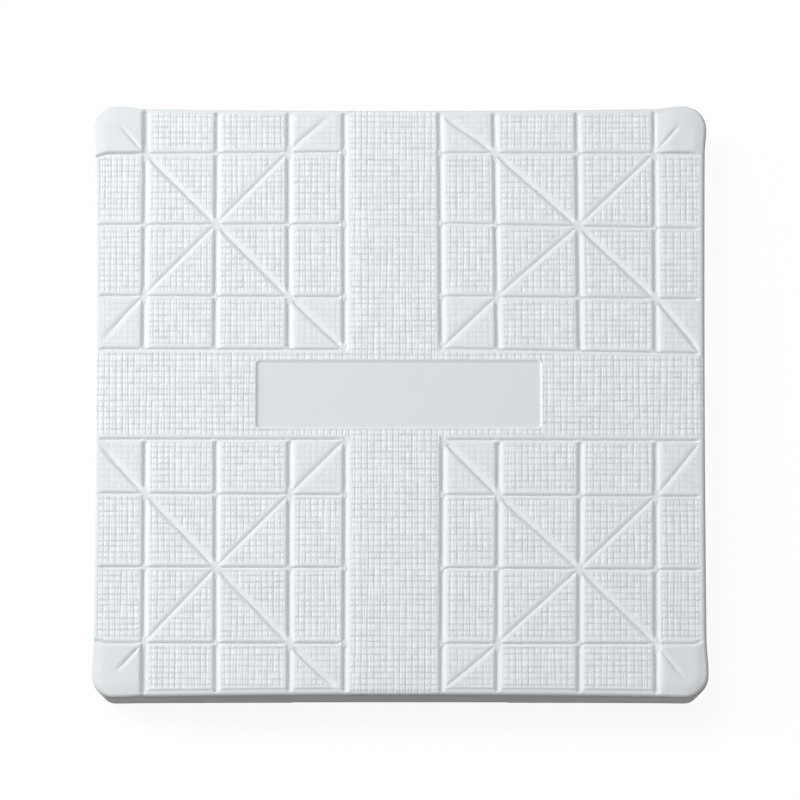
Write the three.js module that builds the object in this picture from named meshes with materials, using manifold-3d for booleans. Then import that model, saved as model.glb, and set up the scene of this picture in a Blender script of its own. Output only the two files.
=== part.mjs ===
// A square field base: a moulded rubber cover over a foam pad and a ribbed core, closed below by a screwed
// bottom plate with a recess where a ground anchor's stem is bolted on. Millimetres, +Z up, origin on the
// ground under the middle of the base, -Y to the front.

import * as THREE from 'three';
import { mergeVertices } from 'three/addons/utils/BufferGeometryUtils.js';
import Module from 'manifold-3d';

const wasm = await Module();
wasm.setup();

// Overall size, across and up to the four corner pads
const baseWidth = 381;
const baseHeight = 38.1;
const cornerRadius = 14.5;

// Cover: walls, shoulder, and how the sides are drawn in between the corner pads
const skinThickness = 4;
const wallThickness = 4;
const shoulderRadius = 4;
const bottomTuck = 5.6;
const sideInset = 1;
const sideBow = 1;
const footShare = 0.3;
const notchRamp = 4;
const padRise = 0.8;
const padRound = 2.4;
const lipWidth = 10;
const lipThickness = 3;

// Groove pattern, in distances from the middle of the base. Columns run left to right, rows back to front.
const leftColumns = [-158.2, -113.9, -68.9, -34.3];
const rightColumns = [158, 110.7, 59.9, 25.5];
const backRows = [160.5, 113.8, 67.1, 32];
const frontRows = [-157.1, -108.4, -61.4, -25.6];
const grooveWidth = 5;
const grooveFloor = 1.6;
const grooveDepth = 1.4;
const diagonalWidth = 4;
const diagonalDepth = 1.2;
const creaseReach = 18;

// The four quadrants of the pattern. The rows of a quadrant fall a little from its inner to its outer column.
const backLeft = { columns: leftColumns, rows: backRows, rowFall: 0 };
const backRight = { columns: rightColumns, rows: backRows, rowFall: 3.2 };
const frontLeft = { columns: leftColumns, rows: frontRows, rowFall: -0.8 };
const frontRight = { columns: rightColumns, rows: frontRows, rowFall: 1.2 };

// Label recess
const labelWidth = 176.3;
const labelHeight = 43.6;
const labelX = -0.7;
const labelY = 4;
const labelDepth = 1;
const labelCorner = 2.5;

// Core and bottom plate. The foam fills what is left between the core's deck and the cover's skin.
const deckThickness = 5;
const ribThickness = 4;
const ribPitch = 33;
const plateThickness = 4;
const innerCorner = 8;
const wellDepth = 6;
const wellCorner = 4;
const collarWall = 4;
const hubFloor = 3;

// Anchor plate and its bolts, with the nuts in pockets of the core's hub
const anchorSize = 104;
const anchorThickness = 5;
const anchorCorner = 4;
const anchorMargin = 3;
const boltInset = 13.9;
const boltDiameter = 8;
const boltHeadDiameter = 15.8;
const boltSocket = 5;
const boltSocketDepth = 2.5;
const boltPastNut = 1.5;
const boltEndSunk = 0.7;
const washerDiameter = 16;
const washerThickness = 1.6;
const nutFlats = 13;
const nutHeight = 5;

// Bottom plate screws
const screwDiameter = 4.8;
const screwHeadDiameter = 9.5;
const screwLength = 15;
const screwInset = 7;
const screwGaps = 4;
const screwSlot = 1.2;
const screwSlotDepth = 1.4;
const bossDiameter = 11;
const bossFloor = 2;

// Facets round a bolt and round a screw
const boltSides = 16;
const screwSides = 10;

// Clearances: between stacked faces, between sides that slot together, and round shanks in their holes
const seatGap = 0.3;
const fitGap = 0.4;
const holeGap = 0.4;
const headSunk = 0.2;
const cutMargin = 3;

// Levels and half widths that follow from the sizes above
const topLevel = baseHeight - padRise;
const shoulderLevel = topLevel - shoulderRadius;
const lipBottom = plateThickness + seatGap;
const lipTop = lipBottom + lipThickness;
const anchorTop = wellDepth + anchorThickness;
const hubBottom = anchorTop + seatGap;
const nutPocketFloor = hubBottom + hubFloor;
const washerBottom = nutPocketFloor + seatGap;
const washerTop = washerBottom + washerThickness;
const nutBottom = washerTop + seatGap;
const nutTop = nutBottom + nutHeight;
const boltEnd = nutTop + boltPastNut;
const deckTop = boltEnd + boltEndSunk;
const deckBottom = deckTop - deckThickness;
const foamBottom = deckTop + seatGap;
const cavityTop = topLevel - skinThickness;
const foamTop = cavityTop - seatGap;
const coverHalf = baseWidth / 2;
const cavityHalf = coverHalf - bottomTuck - (sideInset + sideBow) * footShare - wallThickness;
const lipHalf = cavityHalf - lipWidth;
const insertHalf = cavityHalf - fitGap;
const insertCorner = innerCorner - fitGap;
const rimHalf = lipHalf - fitGap;
const wellHalf = anchorSize / 2 + anchorMargin;
const collarHalf = wellHalf + collarWall;
const screwRing = lipHalf - screwInset;

// Materials
const whiteRubber = () => new THREE.MeshStandardMaterial({ color: 0xe4e8eb, roughness: 0.6, metalness: 0 });
const greyFoam = () => new THREE.MeshStandardMaterial({ color: 0x8f9498, roughness: 0.95, metalness: 0 });
const blackPlastic = () => new THREE.MeshStandardMaterial({ color: 0x202224, roughness: 0.55, metalness: 0 });
const galvanised = () => new THREE.MeshStandardMaterial({ color: 0xb4b9bc, roughness: 0.45, metalness: 1 });
const zincPlated = () => new THREE.MeshStandardMaterial({ color: 0xc9cccf, roughness: 0.3, metalness: 1 });

// Solids and meshes

function solidFrom(geometry) {
  const bare = geometry.clone();
  bare.deleteAttribute('normal');
  bare.deleteAttribute('uv');
  const merged = mergeVertices(bare);
  const vertProperties = new Float32Array(merged.attributes.position.array);
  const triVerts = new Uint32Array(merged.index.array);
  return new wasm.Manifold(new wasm.Mesh({ numProp: 3, vertProperties, triVerts }));
}

function geometryFrom(solid) {
  const { vertProperties, triVerts } = solid.getMesh();
  const geometry = new THREE.BufferGeometry();
  geometry.setAttribute('position', new THREE.BufferAttribute(new Float32Array(vertProperties), 3));
  geometry.setIndex(new THREE.BufferAttribute(new Uint32Array(triVerts), 1));
  geometry.computeVertexNormals();
  return geometry;
}

const base = new THREE.Group();

function addPiece(name, solid, material) {
  const mesh = new THREE.Mesh(geometryFrom(solid), material);
  mesh.name = name;
  base.add(mesh);
}

// Plain shapes

function roundedRectangle(width, height, radius) {
  const x = width / 2 - radius;
  const y = height / 2 - radius;
  const shape = new THREE.Shape();
  shape.absarc(x, -y, radius, -Math.PI / 2, 0, false);
  shape.absarc(x, y, radius, 0, Math.PI / 2, false);
  shape.absarc(-x, y, radius, Math.PI / 2, Math.PI, false);
  shape.absarc(-x, -y, radius, Math.PI, Math.PI * 1.5, false);
  shape.closePath();
  return shape;
}

function slab(shape, bottom, top, x = 0, y = 0) {
  const geometry = new THREE.ExtrudeGeometry(shape, {
    depth: top - bottom,
    bevelEnabled: false,
    curveSegments: 6,
  });
  return solidFrom(geometry.translate(x, y, bottom));
}

function squareSlab(half, radius, bottom, top) {
  return slab(roundedRectangle(half * 2, half * 2, radius), bottom, top);
}

function block(x0, x1, y0, y1, z0, z1) {
  const geometry = new THREE.BoxGeometry(x1 - x0, y1 - y0, z1 - z0);
  return solidFrom(geometry.translate((x0 + x1) / 2, (y0 + y1) / 2, (z0 + z1) / 2));
}

function round(lowRadius, highRadius, bottom, top, x, y, sides) {
  const geometry = new THREE.CylinderGeometry(highRadius, lowRadius, top - bottom, sides);
  geometry.rotateX(Math.PI / 2);
  return solidFrom(geometry.translate(x, y, (bottom + top) / 2));
}

// Rubber cover

// Where a row of a quadrant lies at the distance x from the middle
function rowAt({ columns, rowFall }, row, x) {
  return row - (rowFall * (x - columns[3])) / (columns[0] - columns[3]);
}

// How far a side is drawn in at the distance along it, between the notches beside its two corner pads
function drawIn(along, low, high) {
  const middle = (low + high) / 2;
  const reach = (high - low) / 2 - notchRamp;
  const away = Math.abs(along - middle);
  if (away <= reach) return sideInset + sideBow * (1 - (away / reach) ** 2);
  return sideInset * Math.max(0, 1 - (away - reach) / notchRamp);
}

const sideSteps = 14;
const cornerSteps = 6;

// One level of the cover's outside: inset all round, with a share of the sides' draw-in
function coverRing(inset, level, share) {
  const straight = coverHalf - cornerRadius;
  const notches = [
    [leftColumns[0], rightColumns[0]],
    [rowAt(frontRight, frontRows[0], coverHalf), rowAt(backRight, backRows[0], coverHalf)],
    [-rightColumns[0], -leftColumns[0]],
    [-rowAt(backLeft, backRows[0], -coverHalf), -rowAt(frontLeft, frontRows[0], -coverHalf)],
  ];
  const ring = [];
  notches.forEach(([low, high], side) => {
    const stops = [-straight, low];
    for (let i = 0; i <= sideSteps; i++) {
      stops.push(low + notchRamp + ((high - low - 2 * notchRamp) * i) / sideSteps);
    }
    stops.push(high, straight);
    const turn = (side * Math.PI) / 2;
    const spin = (x, y) => new THREE.Vector3(
      x * Math.cos(turn) - y * Math.sin(turn),
      x * Math.sin(turn) + y * Math.cos(turn),
      level,
    );
    for (const along of stops) {
      ring.push(spin(along, -(coverHalf - inset - share * drawIn(along, low, high))));
    }
    for (let i = 1; i < cornerSteps; i++) {
      const angle = -Math.PI / 2 + ((Math.PI / 2) * i) / cornerSteps;
      const radius = cornerRadius - inset;
      ring.push(spin(straight + radius * Math.cos(angle), -straight + radius * Math.sin(angle)));
    }
  });
  return ring;
}

// A closed solid through rings of points at rising levels, with a flat cap at each end
function loft(rings) {
  const count = rings[0].length;
  const points = rings.flat();
  const index = [];
  for (let level = 0; level + 1 < rings.length; level++) {
    for (let i = 0; i < count; i++) {
      const a = level * count + i;
      const b = level * count + ((i + 1) % count);
      index.push(a, b, b + count, a, b + count, a + count);
    }
  }
  const lowCentre = points.push(new THREE.Vector3(0, 0, rings[0][0].z)) - 1;
  const highCentre = points.push(new THREE.Vector3(0, 0, rings.at(-1)[0].z)) - 1;
  const last = (rings.length - 1) * count;
  for (let i = 0; i < count; i++) {
    const next = (i + 1) % count;
    index.push(lowCentre, next, i);
    index.push(highCentre, last + i, last + next);
  }
  const geometry = new THREE.BufferGeometry().setFromPoints(points);
  geometry.setIndex(index);
  return solidFrom(geometry);
}

function coverBody() {
  const shoulderSteps = 4;
  const rings = [coverRing(bottomTuck, 0, footShare)];
  for (let i = 0; i <= shoulderSteps; i++) {
    const angle = ((Math.PI / 2) * i) / shoulderSteps;
    const inset = shoulderRadius * (1 - Math.cos(angle));
    rings.push(coverRing(inset, shoulderLevel + shoulderRadius * Math.sin(angle), 1));
  }
  return loft(rings);
}

// A corner pad swells above the top between the outer grooves and the shoulder
function cornerPad(quadrant) {
  const column = quadrant.columns[0];
  const row = rowAt(quadrant, quadrant.rows[0], column);
  const nearX = Math.abs(column) + grooveWidth / 2 + padRound;
  const nearY = Math.abs(row) + grooveWidth / 2 + padRound;
  const far = coverHalf - shoulderRadius - padRound / 2;
  const bend = Math.min(cornerRadius - shoulderRadius, far - nearX, far - nearY);
  const outline = [[nearX, nearY], [far, nearY]];
  for (let i = 0; i <= cornerSteps; i++) {
    const angle = ((Math.PI / 2) * i) / cornerSteps;
    outline.push([far - bend + bend * Math.cos(angle), far - bend + bend * Math.sin(angle)]);
  }
  outline.push([nearX, far]);
  const turned = outline.map(([x, y]) => new THREE.Vector2(Math.sign(column) * x, Math.sign(row) * y));
  const geometry = new THREE.ExtrudeGeometry(new THREE.Shape(turned), {
    depth: shoulderRadius / 2,
    bevelThickness: padRise,
    bevelSize: padRound,
    bevelSegments: 3,
  });
  return solidFrom(geometry.translate(0, 0, topLevel - shoulderRadius / 2));
}

// A straight groove from one point to another, sloped walls down to a narrow floor
function groove([x0, y0], [x1, y1], width, depth, level) {
  const slope = (width - grooveFloor) / 2 / depth;
  const high = width / 2 + slope * cutMargin;
  const section = new THREE.Shape();
  section.moveTo(-grooveFloor / 2, -depth);
  section.lineTo(grooveFloor / 2, -depth);
  section.lineTo(high, cutMargin);
  section.lineTo(-high, cutMargin);
  section.closePath();
  const along = new THREE.Vector3(x1 - x0, y1 - y0, 0);
  const length = along.length();
  along.normalize();
  const up = new THREE.Vector3(0, 0, 1);
  const across = new THREE.Vector3().crossVectors(up, along);
  const geometry = new THREE.ExtrudeGeometry(section, { depth: length, bevelEnabled: false });
  geometry.applyMatrix4(new THREE.Matrix4().makeBasis(across, up, along));
  return solidFrom(geometry.translate(x0, y0, level));
}

// The grooves of one quadrant: four columns, four rows that may fall to the side, and two diagonals
function quadrantGrooves(quadrant) {
  const { columns, rows } = quadrant;
  const inner = columns[3];
  const sideEdge = Math.sign(inner) * (coverHalf + cutMargin);
  const farEdge = Math.sign(rows[3]) * (coverHalf + cutMargin);
  const cross = (c, r) => [columns[c], rowAt(quadrant, rows[r], columns[c])];
  const cuts = [];
  const cut = (from, to) => cuts.push(groove(from, to, grooveWidth, grooveDepth, topLevel));
  const slant = (from, to) => cuts.push(groove(from, to, diagonalWidth, diagonalDepth, topLevel));
  for (let i = 0; i < 4; i++) {
    cut(cross(i, 3), [columns[i], farEdge]);
    cut(cross(3, i), [sideEdge, rowAt(quadrant, rows[i], sideEdge)]);
  }
  for (let i = 0; i < 3; i++) slant(cross(i, i), cross(i + 1, i + 1));
  const side = Math.sign(inner) * (coverHalf - shoulderRadius);
  const far = Math.sign(rows[3]) * (coverHalf - shoulderRadius);
  const start = [side, rowAt(quadrant, rows[3], side)];
  const against = [start, cross(0, 2), cross(1, 1), cross(2, 0), [inner, far]];
  for (let i = 0; i + 1 < against.length; i++) slant(against[i], against[i + 1]);
  const [padX, padY] = cross(0, 0);
  const tip = [padX + Math.sign(padX) * creaseReach, padY + Math.sign(padY) * creaseReach];
  cuts.push(groove([padX, padY], tip, diagonalWidth, diagonalDepth, baseHeight));
  return cuts;
}

function rubberCover() {
  const quadrants = [backLeft, backRight, frontLeft, frontRight];
  let cover = coverBody();
  for (const quadrant of quadrants) cover = cover.add(cornerPad(quadrant));
  for (const cut of quadrants.flatMap(quadrantGrooves)) cover = cover.subtract(cut);
  const label = roundedRectangle(labelWidth, labelHeight, labelCorner);
  cover = cover.subtract(slab(label, topLevel - labelDepth, topLevel + cutMargin, labelX, labelY));
  cover = cover.subtract(squareSlab(cavityHalf, innerCorner, -cutMargin, lipBottom));
  cover = cover.subtract(squareSlab(lipHalf, innerCorner, lipBottom - cutMargin, lipTop + cutMargin));
  return cover.subtract(squareSlab(cavityHalf, innerCorner, lipTop, cavityTop));
}

// Fastener places

function boltPlaces() {
  const half = anchorSize / 2 - boltInset;
  return [[-half, -half], [half, -half], [half, half], [-half, half]];
}

function screwPlaces() {
  const step = (2 * screwRing) / screwGaps;
  const places = [];
  for (let i = 0; i < screwGaps; i++) {
    const along = -screwRing + i * step;
    places.push([along, -screwRing], [screwRing, along], [-along, screwRing], [-screwRing, -along]);
  }
  return places;
}

// A countersunk head with its shank, from the head's level up to the end's
function countersunk(headDiameter, shankDiameter, headLevel, endLevel, x, y, sides) {
  const headDepth = (headDiameter - shankDiameter) / 2;
  const wide = headDiameter / 2;
  const thin = shankDiameter / 2;
  const head = round(wide, thin, headLevel, headLevel + headDepth, x, y, sides);
  return head.add(round(thin, thin, headLevel + headDepth / 2, endLevel, x, y, sides));
}

// The hole for it, wider by the gap, with a straight mouth below the face that the head lies in
function countersunkHole(headDiameter, shankDiameter, faceLevel, endLevel, x, y, sides) {
  const wide = headDiameter + 2 * holeGap;
  const thin = shankDiameter + 2 * holeGap;
  const hole = countersunk(wide, thin, faceLevel, endLevel, x, y, sides);
  const mouth = round(wide / 2, wide / 2, faceLevel - cutMargin, faceLevel + headSunk, x, y, sides);
  return hole.add(mouth);
}

// Core: deck, outer wall on the cover's lip, rim and ribs on the bottom plate, hub over the anchor plate

function ribLines() {
  const lines = [0];
  for (let at = ribPitch; at < rimHalf - ribThickness - ribPitch / 2; at += ribPitch) lines.push(at, -at);
  return lines;
}

function waffleCore() {
  const ribLevel = plateThickness + seatGap;
  const overlap = deckThickness / 2;
  const wall = (half, corner, bottom) => squareSlab(half, corner, bottom, deckBottom + overlap)
    .subtract(squareSlab(half - ribThickness, corner - ribThickness / 2, bottom - cutMargin, deckTop));
  const rib = ribThickness / 2;
  const inside = rimHalf - rib;
  let ribs = wall(rimHalf, insertCorner, ribLevel);
  for (const at of ribLines()) {
    ribs = ribs.add(block(at - rib, at + rib, -inside, inside, ribLevel, deckBottom + overlap));
    ribs = ribs.add(block(-inside, inside, at - rib, at + rib, ribLevel, deckBottom + overlap));
  }
  const room = collarHalf + fitGap;
  const around = room + ribThickness;
  ribs = ribs.add(block(-around, around, -around, around, ribLevel, deckBottom + overlap));
  ribs = ribs.subtract(block(-room, room, -room, room, ribLevel - cutMargin, hubBottom));
  const boss = bossDiameter / 2;
  for (const [x, y] of screwPlaces()) {
    ribs = ribs.add(round(boss, boss, ribLevel, deckBottom + overlap, x, y, screwSides));
  }
  let core = squareSlab(insertHalf, insertCorner, deckBottom, deckTop);
  core = core.add(wall(insertHalf, insertCorner, lipTop + seatGap)).add(ribs);
  const pilot = screwDiameter / 2 + holeGap;
  for (const [x, y] of screwPlaces()) {
    core = core.subtract(round(pilot, pilot, 0, screwLength + bossFloor, x, y, screwSides));
  }
  const shank = boltDiameter / 2 + holeGap;
  const pocket = washerDiameter / 2 + fitGap;
  for (const [x, y] of boltPlaces()) {
    const drill = round(shank, shank, hubBottom - cutMargin, deckTop, x, y, boltSides);
    const nutPocket = round(pocket, pocket, nutPocketFloor, deckTop + cutMargin, x, y, boltSides);
    core = core.subtract(drill).subtract(nutPocket);
  }
  return core;
}

function bottomPlate() {
  let plate = squareSlab(insertHalf, insertCorner, 0, plateThickness);
  plate = plate.add(squareSlab(collarHalf, wellCorner + collarWall, 0, hubBottom - seatGap));
  plate = plate.subtract(squareSlab(wellHalf, wellCorner, -cutMargin, hubBottom));
  for (const [x, y] of screwPlaces()) {
    const past = plateThickness + cutMargin;
    const hole = countersunkHole(screwHeadDiameter, screwDiameter, 0, past, x, y, screwSides);
    plate = plate.subtract(hole);
  }
  return plate;
}

function anchorPlate() {
  let plate = squareSlab(anchorSize / 2, anchorCorner, wellDepth, anchorTop);
  for (const [x, y] of boltPlaces()) {
    const past = anchorTop + cutMargin;
    const hole = countersunkHole(boltHeadDiameter, boltDiameter, wellDepth, past, x, y, boltSides);
    plate = plate.subtract(hole);
  }
  return plate;
}

function anchorBolt(x, y) {
  const head = wellDepth + headSunk;
  const bolt = countersunk(boltHeadDiameter, boltDiameter, head, boltEnd, x, y, boltSides);
  const corner = boltSocket / Math.sqrt(3);
  return bolt.subtract(round(corner, corner, head - cutMargin, head + boltSocketDepth, x, y, 6));
}

function washer(x, y) {
  const rim = washerDiameter / 2;
  const hole = boltDiameter / 2 + holeGap;
  const disc = round(rim, rim, washerBottom, washerTop, x, y, boltSides);
  return disc.subtract(round(hole, hole, washerBottom - cutMargin, washerTop + cutMargin, x, y, boltSides));
}

function nut(x, y) {
  const corner = nutFlats / Math.sqrt(3);
  const hole = boltDiameter / 2 + holeGap;
  const hexagon = round(corner, corner, nutBottom, nutTop, x, y, 6);
  return hexagon.subtract(round(hole, hole, nutBottom - cutMargin, nutTop + cutMargin, x, y, boltSides));
}

// A screw with a cross cut in its head
function plateScrew(x, y) {
  const screw = countersunk(screwHeadDiameter, screwDiameter, headSunk, screwLength, x, y, screwSides);
  const long = screwHeadDiameter / 2 - screwSlot;
  const slot = screwSlot / 2;
  const depth = headSunk + screwSlotDepth;
  return screw
    .subtract(block(x - long, x + long, y - slot, y + slot, -cutMargin, depth))
    .subtract(block(x - slot, x + slot, y - long, y + long, -cutMargin, depth));
}

addPiece('rubber_cover', rubberCover(), whiteRubber());
addPiece('foam_pad', squareSlab(insertHalf, insertCorner, foamBottom, foamTop), greyFoam());
addPiece('waffle_core', waffleCore(), blackPlastic());
addPiece('bottom_plate', bottomPlate(), blackPlastic());
addPiece('anchor_plate', anchorPlate(), galvanised());
boltPlaces().forEach(([x, y], i) => {
  addPiece(`anchor_bolt_${i + 1}`, anchorBolt(x, y), zincPlated());
  addPiece(`anchor_washer_${i + 1}`, washer(x, y), zincPlated());
  addPiece(`anchor_nut_${i + 1}`, nut(x, y), zincPlated());
});
screwPlaces().forEach(([x, y], i) => {
  addPiece(`plate_screw_${String(i + 1).padStart(2, '0')}`, plateScrew(x, y), zincPlated());
});

export default base;
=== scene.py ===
import math

import bpy
import numpy as np
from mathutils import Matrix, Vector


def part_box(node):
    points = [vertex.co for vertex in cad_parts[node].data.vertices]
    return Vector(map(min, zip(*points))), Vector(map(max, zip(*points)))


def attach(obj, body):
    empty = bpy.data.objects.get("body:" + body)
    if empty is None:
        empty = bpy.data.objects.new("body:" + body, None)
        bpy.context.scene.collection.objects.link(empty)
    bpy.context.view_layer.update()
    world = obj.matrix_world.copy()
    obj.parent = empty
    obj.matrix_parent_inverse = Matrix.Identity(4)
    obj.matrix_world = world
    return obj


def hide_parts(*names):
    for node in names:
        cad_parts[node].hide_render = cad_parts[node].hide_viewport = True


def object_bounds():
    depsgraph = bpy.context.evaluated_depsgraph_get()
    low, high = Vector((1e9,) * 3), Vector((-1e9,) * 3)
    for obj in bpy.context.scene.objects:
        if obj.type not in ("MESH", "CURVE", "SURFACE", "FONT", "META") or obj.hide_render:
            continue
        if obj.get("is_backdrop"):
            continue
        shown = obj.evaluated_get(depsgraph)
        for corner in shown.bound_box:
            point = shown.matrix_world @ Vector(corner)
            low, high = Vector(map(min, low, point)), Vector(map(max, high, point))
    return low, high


bl_info = {
    "name": "Baseball base",
    "version": (1, 0, 0),
    "blender": (4, 5, 0),
    "location": "View3D > Sidebar > Base",
    "description": "Dresses a moulded rubber baseball base: cover, foam, plastics and fasteners",
    "category": "Object",
}

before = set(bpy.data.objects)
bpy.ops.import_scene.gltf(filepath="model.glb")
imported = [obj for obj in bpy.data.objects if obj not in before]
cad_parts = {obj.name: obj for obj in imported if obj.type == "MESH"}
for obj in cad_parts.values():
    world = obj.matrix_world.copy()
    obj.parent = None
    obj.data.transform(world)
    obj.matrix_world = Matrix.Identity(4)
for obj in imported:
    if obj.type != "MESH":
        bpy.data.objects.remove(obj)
CAD_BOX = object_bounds()

MM = 0.001
BODY = "root"

# Groove lines in millimetres from the middle. Columns from left to right: x at the front edge, at the inner
# rows of the front and back quadrants, and at the back edge
COLUMNS = (
    (-158.8, -158.2, -159.3, -158.5),
    (-114, -114.3, -115, -114),
    (-68.7, -68.8, -69.4, -69.7),
    (-34.6, -34.2, -34.7, -35),
    (25.25, 26.05, 25.45, 24.25),
    (59.65, 60.55, 60.25, 58.15),
    (110.15, 111.15, 111.15, 109.55),
    (157.85, 157.95, 158.15, 157.85),
)
# Rows from front to back: y at the left edge, at the inner columns and at the right edge
ROWS = (
    (-155.5, -155.9, -156.0, -156.2),
    (-106.8, -107.4, -107.5, -108.8),
    (-59.4, -60.6, -60.6, -61.6),
    (-24.7, -24.9, -25.1, -25.8),
    (33.5, 32.9, 33.6, 30.4),
    (67.9, 67.0, 67.5, 65.6),
    (113.8, 114.2, 114.5, 111.1),
    (159.6, 160.9, 160.2, 159.9),
)
# The sunken label plate: left, right, front and back edge
LABEL = (-89.0, 87.6, -17.3, 25.9)
# How far each side lies behind the corner pads where it leaves them, and how much further in its middle
DRAWN_IN = {"left": (1.0, 1.15), "right": (1.1, 0.6), "front": (0.7, 1.2), "back": (1.6, 1.15)}

# Kinds of grid cells: nominal width, grid steps, longest step, and whether steps also crowd in the middle.
# Cells that a diagonal crosses are of one kind both ways, so that it runs through grid points.
CELL_KINDS = {
    "cell": (47.0, 34, 2.4, True),
    "side": (33.0, 27, 2.2, False),
    "band": (60.0, 24, 5.0, False),
    "low": (7.8, 10, 1.2, False),
    "plate": (43.7, 12, 6.0, False),
    "high": (6.5, 9, 1.2, False),
}
COLUMN_KINDS = ("side", "cell", "cell", "side", "band", "side", "cell", "cell", "side")
ROW_KINDS = ("side", "cell", "cell", "side", "low", "plate", "high", "side", "cell", "cell", "side")
# Shortest grid step, how far it reaches from a line and from a cell's middle, and the length where steps grow
FINE_STEP, FINE_AT_LINE, FINE_AT_MIDDLE, FINE_EASE = 0.5, 2.4, 0.8, 4.0
# Cells of a quadrant each way, and the number that stands for a band between quadrants
QUADRANT_CELLS, BAND = 4, 99
# Lines that are grooves, counted from the left and the front edge of the top
GROOVE_COLUMNS, GROOVE_ROWS = (1, 2, 3, 4, 5, 6, 7, 8), (1, 2, 3, 4, 7, 8, 9, 10)
# Which lines of the pattern bound a quadrant, counted from the outer edge inwards, and its outermost cell
SIDE_COLUMNS = {"left": (0, 1, 2, 3, 4, 0), "right": (9, 8, 7, 6, 5, 8)}
END_ROWS = {"front": (0, 1, 2, 3, 4, 0), "back": (11, 10, 9, 8, 7, 10)}

# How far short of the corner the cross diagonals end in the left quadrants: at the back, the front, the side
SHORT_BACK, SHORT_FRONT, SHORT_SIDE = 7.6, 3.6, 4.0
# Share of the way across a cell where the grid lets go of a short end and of a turned crease
END_LET_GO, TURN_LET_GO = 0.78, 0.7
# How far columns and rows end before the inner row and column that bound their quadrant
INNER_GAP = 2.6
# How near to a groove's line a grid point counts as lying on it
ON_LINE = 1e-4
# Each pad's crease: how far its line is turned from the corner, sideways and lengthways, and its share of the
# way to the corner
CREASES = {
    ("left", "back"): ((-1.5, 5.0), 0.56),
    ("right", "back"): ((-1.5, 5.0), 0.58),
    ("left", "front"): ((0.0, 0.0), 0.58),
    ("right", "front"): ((-1.5, 5.0), 0.64),
}

# Walls of the straight grooves on either side: half width, steepness, and the print's margin from the line
RIGHT_OF_COLUMN, LEFT_OF_COLUMN = (5.4, 1.8, 3.2), (3.8, 3.2, 1.5)
BEHIND_ROW, BEFORE_ROW = (2.4, 2.8, 1.9), (2.6, 2.8, 1.2)
# The two parts of the wall between the back right pad and its column: half width and steepness
SHORT_WALL, LONG_SLOPE = (2.4, 1.8), (12.0, 1.5)
# Depth of the rows as a share of the columns' depth
ROW_SHARE = 0.7
# Diagonals that rise or fall to the right: half width behind and before the line, and share of the depth
RISING, FALLING = (4.0, 4.4, 0.42), (4.5, 2.3, 1.0)
DIAGONAL_STEEP, CREASE_STEEP = 2.0, 1.7
# Where grooves run out: distance from the rim and length of the easing. Those of the first kind still
# cut into the rim, and a crease's two values are shares of its length.
THROUGH_RIM, SIDE_RUN, BACK_RUN, DIAGONAL_RUN = (-0.6, 1.8), (0.0, 4.0), (0.1, 2.4), (0.2, 6.0)
CREASE_RUN = (0.05, 0.25)
# Floors where grooves cross: share of the depth, then radius and easing with and without a diagonal
FLOOR_SHARE = 0.42
DIAGONAL_FLOOR, PLAIN_FLOOR = (3.6, 3.0), (1.2, 2.8)

# The end cells' step at the front rim, as distance and easing, and their line at the back rim, as distance,
# half width and steepness
FRONT_STEP = (1.7, 0.9)
BACK_LINE, BACK_LINE_WALL = 0.6, (1.2, 2.0)

# Strength of the print where it is weaker: in the cell at the front end of a cross diagonal, and in others
FRONT_PRINT, FAINT_PRINT = 0.75, 0.4
# Margins of the print, as distance and easing: at the rim, at the grooves' walls and at the label plate
BAND_MARGIN, FRONT_MARGIN, BACK_MARGIN, SIDE_MARGIN = (-1.0, 1.0), (2.6, 0.8), (1.4, 0.8), (0.8, 1.4)
GROOVE_MARGIN, LABEL_MARGIN = (0.0, 1.8), (0.4, 1.0)
# How much of the cloth's lighter tone a pad lacks
PAD_TONE = 0.45
# How fast the print's squares grow towards the right and the front, for each millimetre
GROW_RIGHT, GROW_FRONT = 0.00017, 0.00015
# How far the print's lines wander, sideways and lengthways, and the size of the noise that moves them
WANDER_ASIDE, WANDER_ALONG, WANDER_SIZE = 3.0, 2.6, 8.0

# Width of the zone where the top falls towards its shoulder, and of the parabola that starts a pad's bevel
FALL_WIDTH, BEVEL_EASE = 4.0, 3.0
# Zones from the rim inwards where the top takes up the drawn-in sides and the size of the shoulder
DRAW_REACH, SHOULDER_REACH = 26.0, 14.0
# Where the pads' grooves bend away: distance from the middle and easing, and spread along the side
FLARE_ZONE, FLARE_SPREAD = (182.0, 7.0), 8.0
# Half length of the hollowed middle of a wall and its easing, and share of the drawing-in left at the foot
HOLLOW_HALF, HOLLOW_EASE, DRAW_AT_FOOT = 68.0, 3.0, 0.3
SHOULDER_STEPS, WALL_STEPS = 6, 5

# Inside of the cover: half width within the skirt and within its inturned lip, corner radius, and heights
SKIRT_HALF, LIP_HALF, INNER_CORNER = 180.3, 170.3, 8.0
LIP_BOTTOM, LIP_TOP, CEILING = 4.3, 7.3, 33.3
# Half width and height of the rings inside the cover, from the skirt's inner edge to the ceiling
INNER_RINGS = (
    (SKIRT_HALF, 0.0),
    (SKIRT_HALF, LIP_BOTTOM),
    (LIP_HALF, LIP_BOTTOM),
    (LIP_HALF, LIP_TOP),
    (SKIRT_HALF, LIP_TOP),
    (SKIRT_HALF, CEILING),
)
# Width of the sheet that the cover's UV map spreads, and scale and place of the ceiling in its corner
SHEET_SPAN, CEILING_SPAN, CEILING_PLACE = 480.0, 20000.0, 0.015
# Corner and edge radius of the foam, and points round it
FOAM_CORNER, FOAM_EDGE, FOAM_POINTS = 8.0, 1.2, 96

# Place and width of the soft lights, in metres
SIDE_LIGHT, TOP_LIGHT = ((-2.15, 0.6, 1.0), 1.2), ((-0.35, 0.55, 1.9), 1.4)
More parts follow.
